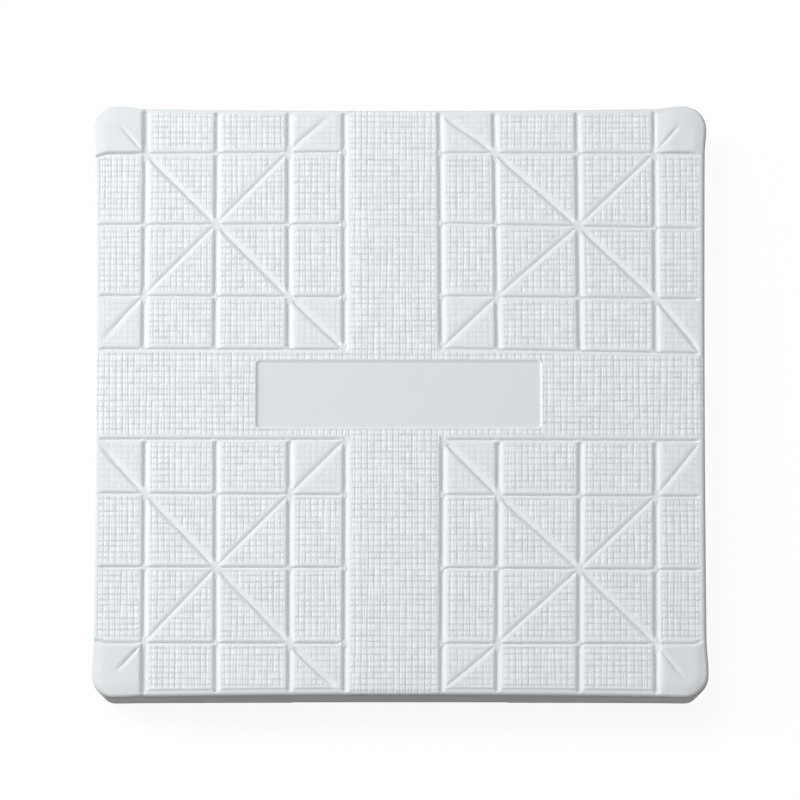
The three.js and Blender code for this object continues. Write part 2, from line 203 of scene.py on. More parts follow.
# The floor's half width and its drop below the base, in millimetres, its glow, and the grey that takes shadow
FLOOR_HALF, FLOOR_DROP, FLOOR_GLOW, FLOOR_GREY = 4000.0, 0.2, 0.92, 0.12


def srgb(red, green, blue):
    """A colour of 0 to 255 screen levels as linear light."""
    levels = np.array([red, green, blue]) / 255
    linear = np.where(levels > 0.04045, ((levels + 0.055) / 1.055) ** 2.4, levels / 12.92)
    return tuple(float(x) for x in linear)


def smooth(value):
    """A step that eases from 0 to 1: three squares less two cubes of the clipped value."""
    part = np.clip(value, 0, 1)
    return part * part * (3 - 2 * part)


def number(name, default, words, **kind):
    """A number property of 0 or more."""
    return bpy.props.FloatProperty(name=name, description=words, default=default, min=0, **kind)


def length(name, default, words):
    """A length property in millimetres."""
    return number(name, default, words + ", in millimetres")


def share(name, default, words):
    """A property from 0 to 1."""
    return number(name, default, words, max=1, subtype="FACTOR")


def colour(name, default, words):
    """A colour property in linear light."""
    return bpy.props.FloatVectorProperty(
        name=name, description=words, default=default, subtype="COLOR", size=3, min=0, max=1
    )


class BASE_PG_cover(bpy.types.PropertyGroup):
    """Sizes and finish of the rubber cover"""

    side: length("Side", 381.0, "Width across the corner pads")
    height: length("Height", 38.1, "Height at the corner pads")
    corner: length("Corner radius", 14.5, "Radius of the upright corners")
    shoulder: length("Shoulder radius", 2.0, "Radius between top and wall at the right and front")
    crisp: length("Crisp radius", 0.6, "Radius between top and wall at the left and back")
    corner_soft: length("Soft corner", 1.0, "How much larger the shoulder is at the front corners")
    edge_fall: length("Edge fall", 0.3, "How far the top falls towards the shoulder")
    pad_slope: share("Pad slope", 0.15, "Slope of the bevel round a corner pad")
    pad_bevel: length("Pad bevel", 6.0, "Width of the bevel round a corner pad")
    tuck: length("Bottom tuck", 5.9, "How far the wall leans in towards the ground")
    foot: length("Foot radius", 1.0, "Radius at the bottom edge of the wall")
    ease: length("Pad easing", 16.0, "Length over which a pad's outline eases into a side")
    hollow: length("Wall hollow", 0.25, "How far the middle of a wall is hollowed at its foot")
    pad_rise: length("Pad rise", 0.8, "How far a corner pad stands above the cells")
    groove_depth: length("Groove depth", 1.95, "Depth of the straight grooves")
    diagonal_depth: length("Diagonal depth", 1.8, "Depth of the diagonal grooves")
    crease_width: length("Crease width", 3.4, "Width of the crease in a corner pad")
    crease_depth: length("Crease depth", 0.95, "Depth of the crease in a corner pad")
    flare: length("Groove flare", 1.8, "How far a pad's groove bends away from it at the side")
    rim_step: length("Rim step", 0.55, "How far the cells stand above the front rim")
    label_depth: length("Label depth", 1.0, "How far the label plate lies below the cells")
    label_corner: length("Label corner", 2.5, "Corner radius of the label plate")
    label_slope: length("Label slope", 1.3, "Width of the label plate's edge")
    weave_pitch: length("Weave pitch", 3.93, "Distance between the upright lines of the canvas print")
    weave_rise: length("Weave rise", 3.7, "Distance between the level lines of the canvas print")
    weave_depth: length("Weave depth", 0.345, "Relief of the canvas print")
    rubber: colour("Rubber", srgb(222, 226, 229), "Colour of the moulded rubber")
    roughness: share("Roughness", 0.55, "Roughness of the rubber")


class BASE_PG_inside(bpy.types.PropertyGroup):
    """Finish of the pieces inside and below the cover"""

    foam: colour("Foam", srgb(120, 122, 126), "Colour of the impact foam")
    plastic: colour("Plastic", srgb(38, 38, 40), "Colour of the moulded plastic")
    steel: colour("Galvanised steel", srgb(168, 172, 175), "Colour of the anchor plate")
    zinc: colour("Zinc plating", srgb(188, 190, 192), "Colour of bolts, nuts, washers and screws")


class BASE_PG_stage(bpy.types.PropertyGroup):
    """Camera and light"""

    elevation: number("Elevation", math.radians(74.0), "Camera's angle above the floor", subtype="ANGLE")
    distance: number("Distance", 13.7, "Camera's distance from the base", unit="LENGTH")
    lens: number("Lens", 995.2, "Focal length", unit="CAMERA")
    target: number("Target height", 0.0388, "Height that the camera looks at", unit="LENGTH")
    key: number("Side light", 43.0, "Power of the light at the left", unit="POWER")
    top: number("Top light", 18.6, "Power of the light overhead", unit="POWER")
    ambient: share("Ambient", 0.25, "Strength of the room's even light")


class Term:
    """One socket of a node tree; operators on it add Math nodes."""

    def __init__(self, shader, socket):
        self.shader = shader
        self.socket = socket

    def of(self, output):
        """Another output of the same node."""
        return Term(self.shader, self.socket.node.outputs[output])

    def math(self, operation, *values):
        return self.shader.node("ShaderNodeMath", {"operation": operation}, dict(enumerate(values)))

    def __add__(self, other):
        return self.math("ADD", self, other)

    __radd__ = __add__

    def __sub__(self, other):
        return self.math("SUBTRACT", self, other)

    def __rsub__(self, other):
        return self.math("SUBTRACT", other, self)

    def __mul__(self, other):
        return self.math("MULTIPLY", self, other)

    __rmul__ = __mul__

    def __truediv__(self, other):
        return self.math("DIVIDE", self, other)

    def __rtruediv__(self, other):
        return self.math("DIVIDE", other, self)

    def __pow__(self, other):
        return self.math("POWER", self, other)

    def __rpow__(self, other):
        return self.math("POWER", other, self)

    def sine(self):
        return self.math("SINE", self)

    def whole(self):
        return self.math("FLOOR", self)

    def most(self, other):
        return self.math("MAXIMUM", self, other)


class Shader:
    """A node tree of a material or the world, filled by expressions."""

    def __init__(self, owner):
        owner.use_nodes = True
        self.owner = owner
        self.tree = owner.node_tree
        self.tree.nodes.clear()

    def node(self, kind, settings=None, sockets=None, output=0):
        """Adds a node: its settings are set first, then its sockets get values or links."""
        node = self.tree.nodes.new(kind)
        for key, value in (settings or {}).items():
            setattr(node, key, value)
        for key, value in (sockets or {}).items():
            if isinstance(value, Term):
                self.tree.links.new(value.socket, node.inputs[key])
            else:
                node.inputs[key].default_value = value
        return Term(self, node.outputs[output]) if node.outputs else None

    def place(self):
        """Object coordinates in millimetres: the vector and its three parts."""
        metres = self.node("ShaderNodeTexCoord", output="Object")
        vector = self.node(
            "ShaderNodeVectorMath", {"operation": "SCALE"}, {"Vector": metres, "Scale": 1 / MM}
        )
        x = self.node("ShaderNodeSeparateXYZ", sockets={"Vector": vector}, output="X")
        return vector, x, x.of("Y"), x.of("Z")

    def noise(self, vector, size, detail=2.0, rough=0.5):
        """Smooth noise from 0 to 1 with blotches of about that size in millimetres."""
        return self.node(
            "ShaderNodeTexNoise",
            {"noise_dimensions": "3D"},
            {"Vector": vector, "Scale": 1 / size, "Detail": detail, "Roughness": rough},
            "Fac",
        )

    def tone(self, base, factor):
        """A colour darkened or lightened by a factor."""
        grey = self.node("ShaderNodeCombineColor", sockets={"Red": factor, "Green": factor, "Blue": factor})
        return self.node(
            "ShaderNodeMix",
            {"data_type": "RGBA", "blend_type": "MULTIPLY"},
            {"Factor": 1.0, "A": base, "B": grey},
            "Result",
        )

    def bump(self, height, distance):
        """A normal from a height of 0 to 1 that stands for that many metres."""
        return self.node("ShaderNodeBump", sockets={"Distance": distance, "Height": height})

    def surface(self, **sockets):
        """The Principled surface with these sockets, as the material's output."""
        named = {key.replace("_", " "): value for key, value in sockets.items()}
        principled = self.node("ShaderNodeBsdfPrincipled", sockets=named)
        self.node("ShaderNodeOutputMaterial", sockets={"Surface": principled})
        return self.owner


def opaque(rgb):
    """A property's colour with full alpha."""
    return (*rgb, 1.0)


def new_shader(name):
    """The empty node tree of a new material."""
    return Shader(bpy.data.materials.new(name))


class GrooveLines:
    """The lines that the top's grooves follow.

    Columns are numbered from the left edge (0) to the right edge (9), rows from the front edge (0) to the
    back edge (11), rows 5 and 6 being the label plate's front and back edge. Each line is straight in the
    left, middle and right (or front, middle and back) third, so it is read off by linear interpolation
    between four stops. A cell has the number of the line on its left or in front of it.
    """

    def __init__(self, half):
        self.half = half
        self.column_stops = (-half, ROWS[3][1], ROWS[4][1], half)
        self.row_stops = (-half, COLUMNS[3][1], COLUMNS[4][1], half)
        edge, far = (-half,) * 4, (half,) * 4
        label = (LABEL[2],) * 4, (LABEL[3],) * 4
        self.columns = np.array([edge, *COLUMNS, far])
        self.rows = np.array([edge, *ROWS[:4], *label, *ROWS[4:], far])

    def column(self, index, y):
        return np.interp(y, self.column_stops, self.columns[index])

    def row(self, index, x):
        return np.interp(x, self.row_stops, self.rows[index])

    def knots(self):
        """Where each column meets each row: x from y and y from x in turn, until both settle."""
        x = np.repeat(self.columns[:, 1:2], len(self.rows), axis=1)
        for _ in range(12):
            y = np.stack([self.row(m, x[:, m]) for m in range(len(self.rows))], axis=1)
            x = np.stack([self.column(k, y[k]) for k in range(len(self.columns))])
        return np.stack([x, y], axis=2)


def cell_axis(kinds):
    """The cell of each grid step and its share of the way across it.

    Steps are short near the lines and ease to long ones between them: a share is read off the running total
    of one over the step's length.
    """
    cells, shares = [], []
    fine = np.linspace(0, 1, 801)
    for cell, kind in enumerate(kinds):
        width, count, longest, crowded = CELL_KINDS[kind]
        gap = np.minimum(fine, 1 - fine) * width - FINE_AT_LINE
        if crowded:
            gap = np.minimum(gap, np.abs(fine - 0.5) * width - FINE_AT_MIDDLE)
        step = FINE_STEP + (longest - FINE_STEP) * smooth(gap / FINE_EASE)
        total = np.concatenate([[0], np.cumsum((1 / step[1:] + 1 / step[:-1]) / 2)])
        cells.append(np.full(count, cell))
        shares.append(np.interp(np.arange(count) / count, total / total[-1], fine))
    return np.append(np.concatenate(cells), len(kinds) - 1), np.append(np.concatenate(shares), 1.0)


def from_edge(cells, kinds):
    """A cell's number counted from the nearer outer edge, and a large number in the bands between."""
    inward = np.minimum(cells, len(kinds) - 1 - cells)
    return np.where(inward < QUADRANT_CELLS, inward, BAND)


def let_go(way, start):
    """1 up to a share of the way across a cell, easing to 0 at its far line."""
    return 1 - smooth((way - start) / (1 - start))


def pulled(along, across):
    """How much of a cross diagonal's short end a point takes up: the smaller share, let go near the line."""
    return np.minimum(along, across) * let_go(along, END_LET_GO)


def top_plan(lines):
    """Plan of the top as a grid, the cells of its points, and whether their diagonal rises to the right.

    Each cell is two flat maps between three of its knots, which meet on the diagonal. Shifts within cells
    keep grid points on the forms: the cross diagonals of the left quadrants end short of the corner, the
    creases of the pads are turned, and the label plate's sides lie off the middle of their cells.
    """
    knots = lines.knots()
    column, s = cell_axis(COLUMN_KINDS)
    row, t = cell_axis(ROW_KINDS)
    a, b = np.meshgrid(column, row, indexing="ij")
    s, t = np.meshgrid(s, t, indexing="ij")
    left, front = a < 4, b < 5
    rising = (left == front) == (from_edge(a, COLUMN_KINDS) == from_edge(b, ROW_KINDS))
    near, far = np.where(rising, a, a + 1), np.where(rising, a + 1, a)
    across = np.where(rising, s, 1 - s)[..., None]
    along = t[..., None]
    start, side, end, corner = knots[near, b], knots[far, b], knots[near, b + 1], knots[far, b + 1]
    plan = start + across * (side - start) + along * (end - start)
    plan = plan + np.minimum(across, along) * (corner - side - end + start)

    outward_x = np.where(left, 1 - s, s)
    outward_y = np.where(front, 1 - t, t)
    ends = (a == 3) & ((b == 0) | (b == 10))
    plan[..., 0] -= np.where(ends, np.where(front, SHORT_FRONT, SHORT_BACK) * pulled(s, outward_y), 0)
    sides = (a == 0) & ((b == 3) | (b == 7))
    short = np.where(front, -SHORT_SIDE, SHORT_SIDE)
    plan[..., 1] += np.where(sides, short * pulled(1 - outward_y, outward_x), 0)
    turned = np.minimum(outward_x, outward_y) * let_go(np.maximum(outward_x, outward_y), TURN_LET_GO)
    for (side_name, end_name), (turn, _) in CREASES.items():
        pad = (a == SIDE_COLUMNS[side_name][5]) & (b == END_ROWS[end_name][5])
        sign = np.sign(knots[SIDE_COLUMNS[side_name][0], END_ROWS[end_name][0]])
        plan += np.where(pad, turned, 0)[..., None] * sign * turn
    held = np.select([b == 4, b == 5, b == 6], [t, np.ones_like(t), 1 - t], 0) * (1 - np.abs(2 * s - 1))
    plan[..., 0] += np.where(a == 2, LABEL[0] - lines.columns[2:4, 1].mean(), 0) * held
    plan[..., 0] += np.where(a == 6, LABEL[1] - lines.columns[6:8, 1].mean(), 0) * held
    return plan, a, b, rising


def trough(distance, half_width, steep):
    """Share of a groove's depth: its walls get steeper towards its line, from a rounded edge."""
    return (1 - np.clip(distance / half_width, 0, 1)) ** steep


def run_in(gap, zone):
    """A step from 0 to 1 that starts at a distance and eases over a length: the zone's two values."""
    start, ease = zone
    return smooth((gap - start) / ease)


def either(test, one, other):
    """The values of one tuple where the test holds, and else those of the other."""
    return [np.where(test, a, b) for a, b in zip(one, other)]


def to_segment(x, y, start, end):
    """Distance from points to a segment, the share of the way along it, and whether they lie behind it."""
    run = np.subtract(end, start)
    way = np.clip(((x - start[0]) * run[0] + (y - start[1]) * run[1]) / (run @ run), 0, 1)
    behind = ((y - start[1]) * run[0] - (x - start[0]) * run[1]) * np.sign(run[0]) > 0
    return np.hypot(x - start[0] - way * run[0], y - start[1] - way * run[1]), way, behind


def column_grooves(lines, x, y):
    """Distance to each upright groove and whether points lie to its right. They run outwards from a gap
    beside the inner row, and their inner ends are round."""
    for index in GROOVE_COLUMNS:
        aside = x - lines.column(index, y)
        yield np.hypot(aside, np.maximum(0, lines.row(7, x) + INNER_GAP - y)), aside > 0
        yield np.hypot(aside, np.maximum(0, y - lines.row(4, x) + INNER_GAP)), aside > 0


def row_grooves(lines, x, y):
    """Distance to each level groove, whether points lie behind it, and whether it bounds the pads. They run
    outwards from a gap beside the inner column, and their inner ends are round."""
    for index in GROOVE_ROWS:
        aside = y - lines.row(index, x)
        outer = index in (1, 10)
        yield np.hypot(aside, np.maximum(0, x - lines.column(4, y) + INNER_GAP)), aside > 0, outer
        yield np.hypot(aside, np.maximum(0, lines.column(5, y) + INNER_GAP - x)), aside > 0, outer


def diagonal_segments(knots):
    """Start and end of each diagonal groove: in every quadrant one runs from the pad to the middle and one
    crosses it from side to side, both bending at the knots."""
    for side, columns in SIDE_COLUMNS.items():
        for end, rows in END_ROWS.items():
            main = [knots[columns[i], rows[i]] for i in (1, 2, 3, 4)]
            cross = [knots[columns[i], rows[4 - i]] for i in (0, 1, 2, 3, 4)]
            if side == "left":
                cross[0] = cross[0] + (0, SHORT_SIDE if end == "back" else -SHORT_SIDE)
                cross[4] = cross[4] - (SHORT_BACK if end == "back" else SHORT_FRONT, 0)
            yield from zip(main, main[1:])
            yield from zip(cross, cross[1:])


def crease_segments(knots):
    """Start and end of each crease that runs on from the pad's inner corner towards its outer corner."""
    for (side, end), (turn, share_of_pad) in CREASES.items():
        start = knots[SIDE_COLUMNS[side][1], END_ROWS[end][1]]
        corner = knots[SIDE_COLUMNS[side][0], END_ROWS[end][0]]
        yield start, start + (corner + np.sign(corner) * turn - start) * share_of_pad


def rounded_box(x, y, low, high, radius):
    """Signed distance to a rounded rectangle, below zero inside."""
    middle = np.add(low, high) / 2
    half = np.subtract(high, low) / 2 - radius
    gap_x = np.abs(x - middle[0]) - half[0]
    gap_y = np.abs(y - middle[1]) - half[1]
    outside = np.hypot(np.maximum(gap_x, 0), np.maximum(gap_y, 0))
    return outside + np.minimum(np.maximum(gap_x, gap_y), 0) - radius


def straight_grooves(lines, x, y, pad_cell):
    """Share of the depth of the columns, the inner rows and the rows at the pads, the distance to the nearest
    line, and the room that the walls leave for the print.

    A groove is a V whose walls get steeper towards its line, with its own width on either side. The pad at
    the back right rises half by a short wall and half by a long slope.
    """
    upright, level, level_outer = np.zeros((3, *x.shape))
    line, room = np.full((2, *x.shape), np.inf)
    for distance, right in column_grooves(lines, x, y):
        width, steep, margin = either(right, RIGHT_OF_COLUMN, LEFT_OF_COLUMN)
        eased = (trough(distance, *SHORT_WALL) + trough(distance, *LONG_SLOPE)) / 2
        wall = np.where(right & pad_cell & (y > 0), eased, trough(distance, width, steep))
        upright = np.maximum(upright, wall)
        line = np.minimum(line, distance)
        room = np.minimum(room, distance - margin)
    for distance, behind, outer in row_grooves(lines, x, y):
        width, steep, margin = either(behind, BEHIND_ROW, BEFORE_ROW)
        wall = trough(distance, width, steep)
        if outer:
            level_outer = np.maximum(level_outer, wall)
        else:
            level = np.maximum(level, wall)
        line = np.minimum(line, distance)
        room = np.minimum(room, distance - margin)
    return upright, level, level_outer, line, room


def crossing_floor(knots, x, y):
    """Share of the depth that grooves may have: it eases down to a flat floor round every crossing, which is
    wider where a diagonal joins in."""
    floor = np.ones(x.shape)
    last_column, last_row = len(COLUMN_KINDS), len(ROW_KINDS)
    for column in GROOVE_COLUMNS:
        for row in GROOVE_ROWS:
            i, j = min(column, last_column - column), min(row, last_row - row)
            zone = DIAGONAL_FLOOR if i == j or i + j == QUADRANT_CELLS else PLAIN_FLOOR
            gap = np.hypot(x - knots[column, row, 0], y - knots[column, row, 1])
            floor = np.minimum(floor, FLOOR_SHARE + (1 - FLOOR_SHARE) * run_in(gap, zone))
    return floor


def groove_relief(cover, lines, x, y, pad_cell, to_rim):
    """Depth of the grooves, whether points lie on a line, room for the print, and the share of a pad.

    Grooves join by the fourth root of the sum of their fourth powers. They run out towards the rim, and where
    they cross, a floor limits their depth. A pad is as high as the grooves beside it leave it.
    """
    knots = lines.knots()
    upright, level, level_outer, line, room = straight_grooves(lines, x, y, pad_cell)
    pad = np.where(pad_cell, 1 - np.maximum(upright, level_outer), 0)
    to_side, to_end = lines.half - np.abs(x), lines.half - np.abs(y)
    pad_row_run = np.where(x < 0, run_in(to_side, THROUGH_RIM), run_in(to_side, SIDE_RUN))
    level = np.maximum(level * run_in(to_side, SIDE_RUN), level_outer * pad_row_run)
    upright = upright * np.where(y > 0, run_in(to_end, BACK_RUN), run_in(to_end, THROUGH_RIM))
    diagonal = np.zeros(x.shape)
    for start, end in diagonal_segments(knots):
        distance, _, behind = to_segment(x, y, start, end)
        rises = (end[0] - start[0]) * (end[1] - start[1]) > 0
        upper, lower, share_of_depth = RISING if rises else FALLING
        width = np.where(behind, upper, lower)
        diagonal = np.maximum(diagonal, share_of_depth * trough(distance, width, DIAGONAL_STEEP))
        line = np.minimum(line, distance)
        room = np.minimum(room, distance - width / 2)
    total = (cover.groove_depth * upright) ** 4 + (ROW_SHARE * cover.groove_depth * level) ** 4
    total += (cover.diagonal_depth * diagonal * run_in(to_rim, DIAGONAL_RUN)) ** 4
    for start, end in crease_segments(knots):
        distance, way, _ = to_segment(x, y, start, end)
        crease = trough(distance, cover.crease_width / 2, CREASE_STEEP) * run_in(way, CREASE_RUN)
        total += (cover.crease_depth * crease * (1 - way**4)) ** 4
        line = np.minimum(line, distance)
    depth = np.minimum(total**0.25, cover.groove_depth * crossing_floor(knots, x, y))
    return depth, line < ON_LINE, room, pad


def print_strength(y, inward_x, inward_y, end_cell, room, label_gap, to_rim):
    """How strongly the canvas print shows: not on the pads, weakly in the end cells of the cross diagonals
    and in the inner corner of a quadrant, fully elsewhere. It fades at grooves, label plate and rim."""
    far_x, far_y, front = inward_x == 3, inward_y == 3, y < 0
    pad_cell = (inward_x == 0) & (inward_y == 0)
    end_corner, side_corner = far_x & (inward_y == 0), far_y & (inward_x == 0)
    faint = end_corner | side_corner | (far_x & far_y)
    strength = np.select([pad_cell, end_corner & front, faint], [0.0, FRONT_PRINT, FAINT_PRINT], 1.0)
    in_band = (inward_x == BAND) | (inward_y == BAND)
    edges = [run_in(to_rim, zone) for zone in (BAND_MARGIN, FRONT_MARGIN, BACK_MARGIN)]
    edge = np.select([in_band, end_cell & front, end_cell], edges, run_in(to_rim, SIDE_MARGIN))
    return strength * run_in(room, GROOVE_MARGIN) * run_in(label_gap, LABEL_MARGIN) * edge


def top_relief(cover, lines, x, y, inward_x, inward_y, to_rim):
    """At plan points: height of the top above the cells' level, how strongly the canvas print shows, which
    share is cells and bands, whether the point lies on a groove's line, and the share of a pad.

    Pads rise from their grooves and fall to their outline by a bevel that starts as a parabola. The label
    plate lies below by an eased step at its edge. The end cells have a step at the front rim and a faint line
    at the back rim, and the top falls towards the rim by a square.
    """
    pad_cell = (inward_x == 0) & (inward_y == 0)
    groove, on_line, room, pad = groove_relief(cover, lines, x, y, pad_cell, to_rim)
    label_gap = rounded_box(x, y, LABEL[::2], LABEL[1::2], cover.label_corner)
    label = smooth(0.5 - label_gap / cover.label_slope)
    end_cell = (inward_y == 0) & (inward_x > 0) & (inward_x < BAND)
    back_line = trough(np.abs(to_rim - BACK_LINE), *BACK_LINE_WALL) / 2
    step = np.where(y < 0, 1 - run_in(to_rim, FRONT_STEP), back_line)
    rim = cover.rim_step * np.where(end_cell, step, 0)
    past = np.maximum(cover.pad_bevel - to_rim, 0)
    bevel = cover.pad_slope * np.where(past < BEVEL_EASE, past**2 / (2 * BEVEL_EASE), past - BEVEL_EASE / 2)
    fall = cover.edge_fall * np.clip(1 - to_rim / FALL_WIDTH, 0, 1) ** 2
    strength = print_strength(y, inward_x, inward_y, end_cell, room, label_gap, to_rim)
    cloth = (1 - label) * (1 - PAD_TONE * pad)
    height = cover.pad_rise * pad - np.maximum(groove, rim) - cover.label_depth * label
    height = height - (1 - pad) * fall - pad * bevel
    return height, strength, cloth, on_line, pad


def side_draw(along, low, high, ease, negative, amounts):
    """How far a side is drawn in: nothing at the corners, easing in along the pads to the inset at their
    grooves, then a bow that is a parabola. The amounts are an inset and a bow for the negative and the
    positive side."""
    inside = smooth((along - low) / ease + 1) * smooth((high - along) / ease + 1)
    middle = (low + high) / 2
    bow = np.clip(1 - ((along - middle) / (high - middle)) ** 2, 0, 1)
    (inset_a, bow_a), (inset_b, bow_b) = amounts
    return inside * np.where(negative, inset_a + bow_a * bow, inset_b + bow_b * bow)


def round_corner(plan, core, radius):
    """Bends the square corner patch of a plan into a quarter circle: each share of the patch is shortened by
    the root of one less half the other share squared."""
    past = np.maximum(np.abs(plan) - core, 0) / radius
    bent = past * np.sqrt(1 - past[..., ::-1] ** 2 / 2)
    return np.sign(plan) * (np.minimum(np.abs(plan), core) + radius * bent)


def grid_loop(shape):
    """Indices of a grid's border, anticlockwise from its first corner."""
    index = np.arange(shape[0] * shape[1]).reshape(shape)
    return np.concatenate([index[:-1, 0], index[-1, :-1], index[:0:-1, -1], index[0, :0:-1]])


def grid_triangles(shape, rising):
    """Two triangles for each grid cell, split along its rising or its falling diagonal."""
    index = np.arange(shape[0] * shape[1]).reshape(shape)
    a, b, c, d = index[:-1, :-1], index[1:, :-1], index[1:, 1:], index[:-1, 1:]
    split = rising[..., None]
    first = np.where(split, np.stack([a, b, c], 2), np.stack([a, b, d], 2))
    second = np.where(split, np.stack([a, c, d], 2), np.stack([b, c, d], 2))
    return np.concatenate([first.reshape(-1, 3), second.reshape(-1, 3)])


def ring_triangles(rings):
    """Triangles between rings of indices, each ring joined to the next and round to its own start."""
    upper, lower = rings[:-1], rings[1:]
    upper_next, lower_next = np.roll(upper, -1, 1), np.roll(lower, -1, 1)
    first = np.stack([lower, lower_next, upper_next], 2)
    second = np.stack([lower, upper_next, upper], 2)
    return np.concatenate([first.reshape(-1, 3), second.reshape(-1, 3)])


def make_object(name, points, triangles, sharp=None, uv=None, attributes=None, folds=None):
    """A piece at the origin from points in millimetres and triangles; sharp ones are shaded flat, and edges
    between two points of a fold stay crisp."""
    mesh = bpy.data.meshes.new(name)
    mesh.vertices.add(len(points))
    mesh.vertices.foreach_set("co", (points * MM).astype(np.float32).ravel())
    mesh.loops.add(triangles.size)
    mesh.loops.foreach_set("vertex_index", triangles.astype(np.int32).ravel())
    mesh.polygons.add(len(triangles))
    mesh.polygons.foreach_set("loop_start", np.arange(0, triangles.size, 3, dtype=np.int32))
    flat = np.zeros(len(triangles), bool) if sharp is None else sharp
    mesh.update(calc_edges=True)
    mesh.polygons.foreach_set("use_smooth", ~flat)
    if uv is not None:
        layer = mesh.uv_layers.new(name="OFBake")
        layer.data.foreach_set("uv", uv.astype(np.float32).ravel())
    for key, values in (attributes or {}).items():
        mesh.attributes.new(key, "FLOAT", "POINT").data.foreach_set("value", values.astype(np.float32))
    if folds is not None:
        ends = np.empty(2 * len(mesh.edges), np.int32)
        mesh.edges.foreach_get("vertices", ends)
        crisp = folds[ends].reshape(-1, 2).all(1)
        mesh.attributes.new("sharp_edge", "BOOLEAN", "EDGE").data.foreach_set("value", crisp)
    if mesh.validate():
        raise RuntimeError(f"{name}: the mesh had faults")
    piece = bpy.data.objects.new(name, mesh)
    bpy.context.scene.collection.objects.link(piece)
    return piece


def dress(piece, material):
    """Gives a piece this one material."""
    piece.data.materials.clear()
    piece.data.materials.append(material)


class CoverTop:
    """The top of the cover: a grid whose cells follow the grooves, at the height of the relief.

    The plan's corners are rounded and its sides drawn in. Where the shoulder is small the edge moves out,
    where it is large it moves in, and the pads' grooves bend away at the sides. Along the border the class
    also keeps what the rings of the wall need.
    """

    def __init__(self, cover):
        self.plateau = cover.side / 2 - cover.shoulder
        self.radius = cover.corner - cover.shoulder
        self.core = self.plateau - self.radius
        self.level = cover.height - cover.pad_rise
        lines = GrooveLines(self.plateau)
        self.plan, column, row, self.rising = top_plan(lines)
        x, y = self.plan[..., 0], self.plan[..., 1]
        self.shape = x.shape
        self.rounded = round_corner(self.plan, self.core, self.radius)
        corners = (-self.plateau, -self.plateau), (self.plateau, self.plateau)
        to_rim = -rounded_box(self.rounded[..., 0], self.rounded[..., 1], *corners, self.radius)
        inward = from_edge(column, COLUMN_KINDS), from_edge(row, ROW_KINDS)
        height, self.printed, self.cloth, self.on_line, pad = top_relief(cover, lines, x, y, *inward, to_rim)

        middle = np.clip(self.rounded, -self.core, self.core)
        normal = (self.rounded - middle) / self.radius
        sides, ends = (DRAWN_IN["left"], DRAWN_IN["right"]), (DRAWN_IN["front"], DRAWN_IN["back"])
        draw_x = side_draw(y, lines.rows[1, 1], lines.rows[10, 1], cover.ease, x < 0, sides)
        draw_y = side_draw(x, lines.columns[1, 1], lines.columns[8, 1], cover.ease, y < 0, ends)
        draw = np.stack([draw_x, draw_y], 2)
        reach = smooth(1 - to_rim / DRAW_REACH)[..., None]
        shift = draw * reach * np.clip(np.abs(self.plan) / self.core, 0, 1) ** 4
        crisp = np.maximum(-normal[..., 0], 0) ** 2 + np.maximum(normal[..., 1], 0) ** 2
        front_corner = 4 * normal[..., 0] ** 2 * np.maximum(-normal[..., 1], 0) ** 2
        soft = (cover.crisp - cover.shoulder) * crisp + cover.corner_soft * front_corner
        groove_y = np.where(y < 0, lines.row(1, x), lines.row(10, x))
        near = run_in(np.abs(x), FLARE_ZONE) * np.exp(-(((y - groove_y) / FLARE_SPREAD) ** 2))
        slide = -np.sign(y) * cover.flare * near
        laid = self.rounded - np.sign(self.plan) * shift
        laid = laid - normal * (soft * smooth(1 - to_rim / SHOULDER_REACH))[..., None]
        laid[..., 1] += slide
        self.points = np.concatenate([laid, (self.level + height)[..., None]], axis=2).reshape(-1, 3)

        self.border = grid_loop(self.shape)
        self.middle = middle.reshape(-1, 2)[self.border]
        self.normal = normal.reshape(-1, 2)[self.border]
        side_on = np.abs(self.normal)
        self.draw = (side_on * draw.reshape(-1, 2)[self.border]).sum(1)
        self.soft, self.slide = soft.ravel()[self.border], slide.ravel()[self.border]
        self.relief, self.on_pad = height.ravel()[self.border], pad.ravel()[self.border]
        along = np.where(side_on[:, 0] > side_on[:, 1], self.middle[:, 1], self.middle[:, 0])
        self.hollow = cover.hollow * smooth((HOLLOW_HALF - np.abs(along)) / HOLLOW_EASE)


